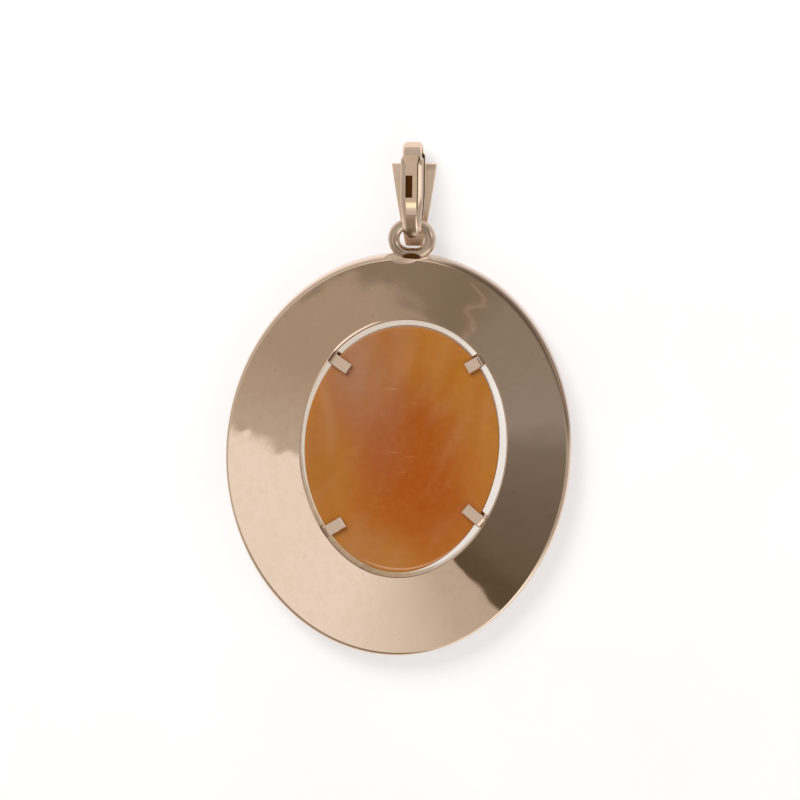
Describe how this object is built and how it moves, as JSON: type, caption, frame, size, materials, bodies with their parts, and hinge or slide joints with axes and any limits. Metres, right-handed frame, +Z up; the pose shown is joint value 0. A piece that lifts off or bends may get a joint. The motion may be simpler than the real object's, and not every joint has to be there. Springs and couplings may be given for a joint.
{
  "type": "cameo pendant",
  "caption": "Oval shell cameo pendant in a wide dished gold border, held by folded claws, with a hinged bail on a soldered ring.",
  "frame": {"origin": "on the resting surface, under the middle of the whole piece's box, with the bail lying flat", "axes": "+Y along the long axis from the frame to the bail, +Z up out of the back of the frame, +X to the right when the back is seen with the bail at the top"},
  "size_m": [0.0362, 0.0548, 0.0045],
  "materials": {
    "polished_gold": "polished yellow gold alloy with a warm pale tone, fine scratches and slight waves",
    "carved_shell": "glossy orange-brown shell with a pale carved layer on its front",
    "bail_gold": "satin to polished yellow gold alloy, worn at the folds"
  },
  "bodies": {
    "pendant": {"frame": "polished_gold", "cameo": "carved_shell"},
    "bail": {"bail": "bail_gold"}
  },
  "joints": [
    {"name": "bail_swing", "type": "hinge", "parent": "pendant", "child": "bail", "pos_m": [0, 0.01871, 0.0025], "axis": [1, 0, 0], "range_deg": [0, 100]}
  ]
}
